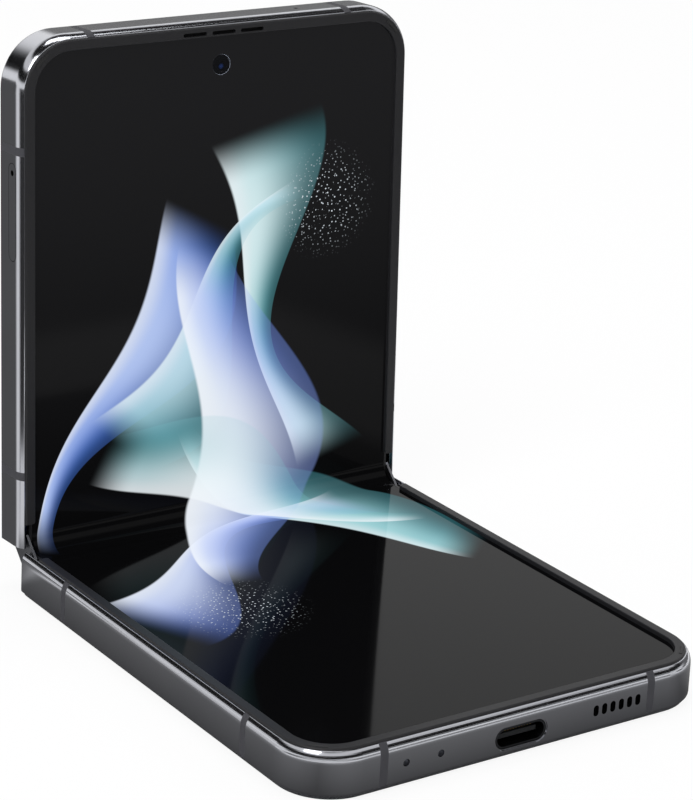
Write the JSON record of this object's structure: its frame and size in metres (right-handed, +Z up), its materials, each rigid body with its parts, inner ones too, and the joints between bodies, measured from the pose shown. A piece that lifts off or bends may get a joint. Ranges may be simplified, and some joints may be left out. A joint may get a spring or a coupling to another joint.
{
  "type": "foldable smartphone",
  "caption": "Clamshell foldable phone open at about a right angle: two thin framed halves with one bending display, joined by a geared hinge.",
  "frame": {"origin": "centre of the lower half's back face, on the surface the phone stands on", "axes": "+Z up from the surface; +Y from the USB-C end towards the hinge; +X to the right when looking at the display from the USB-C end, along the hinge"},
  "size_m": [0.0726, 0.0933, 0.0889],
  "materials": {
    "graphite_metal": "polished graphite",
    "band_plastic": "satin",
    "back_glass": "frosted, opaque",
    "bezel_plastic": "satin",
    "black_rubber": "matte",
    "display_glass": "glossy",
    "cover_glass": "glossy, opaque",
    "lens_glass": "glossy, dark",
    "light_lens": "translucent white",
    "alloy_plate": "matt",
    "bright_steel": "fine",
    "gear_steel": "sintered",
    "spring_steel": "dark",
    "cell_wrap": "satin",
    "copper_coil": "copper wire",
    "board_green": "lacquered",
    "inner_plastic": "matt",
    "mesh_black": "woven"
  },
  "bodies": {
    "lower_half": {"lower_frame": "graphite_metal", "lower_antenna_bands": "band_plastic", "lower_back_glass": "back_glass", "lower_bezel": "bezel_plastic", "lower_bumpers": "black_rubber", "lower_midplate": "alloy_plate", "lower_display_plate": "alloy_plate", "display_lower": "display_glass", "lower_battery": "cell_wrap", "charging_coil": "copper_coil", "lower_board": "board_green", "usb_port_shell": "bright_steel", "usb_port_tongue": "inner_plastic", "loudspeaker": "inner_plastic", "speaker_mesh": "mesh_black", "bottom_microphones": "bright_steel", "vibration_motor": "bright_steel", "lower_hinge_rotors": "bright_steel", "lower_edge_guards": "bezel_plastic", "lower_screws": "bright_steel"},
    "hinge_spine": {"spine_cover": "graphite_metal", "rotor_guides": "bright_steel", "gear_carriers": "bright_steel", "gear_pins": "bright_steel", "hinge_springs": "spring_steel", "spine_end_caps": "graphite_metal", "spine_screws": "bright_steel", "display_fold": "display_glass"},
    "upper_half": {"upper_frame": "graphite_metal", "upper_antenna_bands": "band_plastic", "upper_back_glass": "back_glass", "cover_window": "cover_glass", "cover_display": "display_glass", "upper_bezel": "bezel_plastic", "upper_bumpers": "black_rubber", "upper_midplate": "alloy_plate", "upper_display_plate": "alloy_plate", "display_upper": "display_glass", "upper_battery": "cell_wrap", "main_board": "board_green", "board_shields": "bright_steel", "rear_cameras": "inner_plastic", "camera_rings": "graphite_metal", "camera_lenses": "lens_glass", "flash_lens": "light_lens", "front_camera": "lens_glass", "earpiece": "inner_plastic", "earpiece_mesh": "mesh_black", "sim_socket": "bright_steel", "key_switches": "bright_steel", "upper_hinge_rotors": "bright_steel", "upper_edge_guards": "bezel_plastic", "upper_screws": "bright_steel"},
    "lower_gear_arm_pair": {"lower_gear_arms": "gear_steel"},
    "upper_gear_arm_pair": {"upper_gear_arms": "gear_steel"},
    "lower_idler_pair": {"lower_idler_gears": "gear_steel"},
    "upper_idler_pair": {"upper_idler_gears": "gear_steel"},
    "sim_tray": {"sim_tray": "graphite_metal"},
    "volume_key": {"volume_key": "graphite_metal"},
    "side_key": {"side_key": "graphite_metal"}
  },
  "joints": [
    {"name": "lower_fold", "type": "hinge", "parent": "lower_half", "child": "hinge_spine", "pos_m": [0, 0.03805, 0.0065], "axis": [1, 0, 0], "range_deg": [-43.8, 46.55], "deforming": ["display_fold"]},
    {"name": "upper_fold", "type": "hinge", "parent": "hinge_spine", "child": "upper_half", "pos_m": [0, 0.04195, 0.01024], "axis": [1, 0, 0], "range_deg": [-43.8, 46.55]},
    {"name": "lower_arm_turn", "type": "hinge", "parent": "hinge_spine", "child": "lower_gear_arm_pair", "pos_m": [0, 0.03854, 0.00413], "axis": [1, 0, 0], "range_deg": [-46.55, 43.8]},
    {"name": "upper_arm_turn", "type": "hinge", "parent": "hinge_spine", "child": "upper_gear_arm_pair", "pos_m": [0, 0.04429, 0.00965], "axis": [1, 0, 0], "range_deg": [-43.8, 46.55]},
    {"name": "lower_idler_turn", "type": "hinge", "parent": "hinge_spine", "child": "lower_idler_pair", "pos_m": [0, 0.04103, 0.00531], "axis": [1, 0, 0], "range_deg": [-43.8, 46.55]},
    {"name": "upper_idler_turn", "type": "hinge", "parent": "hinge_spine", "child": "upper_idler_pair", "pos_m": [0, 0.04301, 0.00721], "axis": [1, 0, 0], "range_deg": [-46.55, 43.8]},
    {"name": "tray_slide", "type": "slide", "parent": "upper_half", "child": "sim_tray", "axis": [-1, 0, 0], "range_m": [0, 0.0135]},
    {"name": "volume_press", "type": "slide", "parent": "upper_half", "child": "volume_key", "axis": [-1, 0, 0], "range_m": [0, 0.00025], "stiffness_N_per_m": 1200, "springref_m": -0.001},
    {"name": "side_press", "type": "slide", "parent": "upper_half", "child": "side_key", "axis": [-1, 0, 0], "range_m": [0, 0.00025], "stiffness_N_per_m": 1200, "springref_m": -0.001}
  ],
  "couplings": [
    {"joint": "upper_fold", "follows": "lower_fold", "ratio": 1},
    {"joint": "lower_arm_turn", "follows": "lower_fold", "ratio": -1},
    {"joint": "upper_arm_turn", "follows": "lower_fold", "ratio": 1},
    {"joint": "lower_idler_turn", "follows": "lower_fold", "ratio": 1},
    {"joint": "upper_idler_turn", "follows": "lower_fold", "ratio": -1}
  ]
}
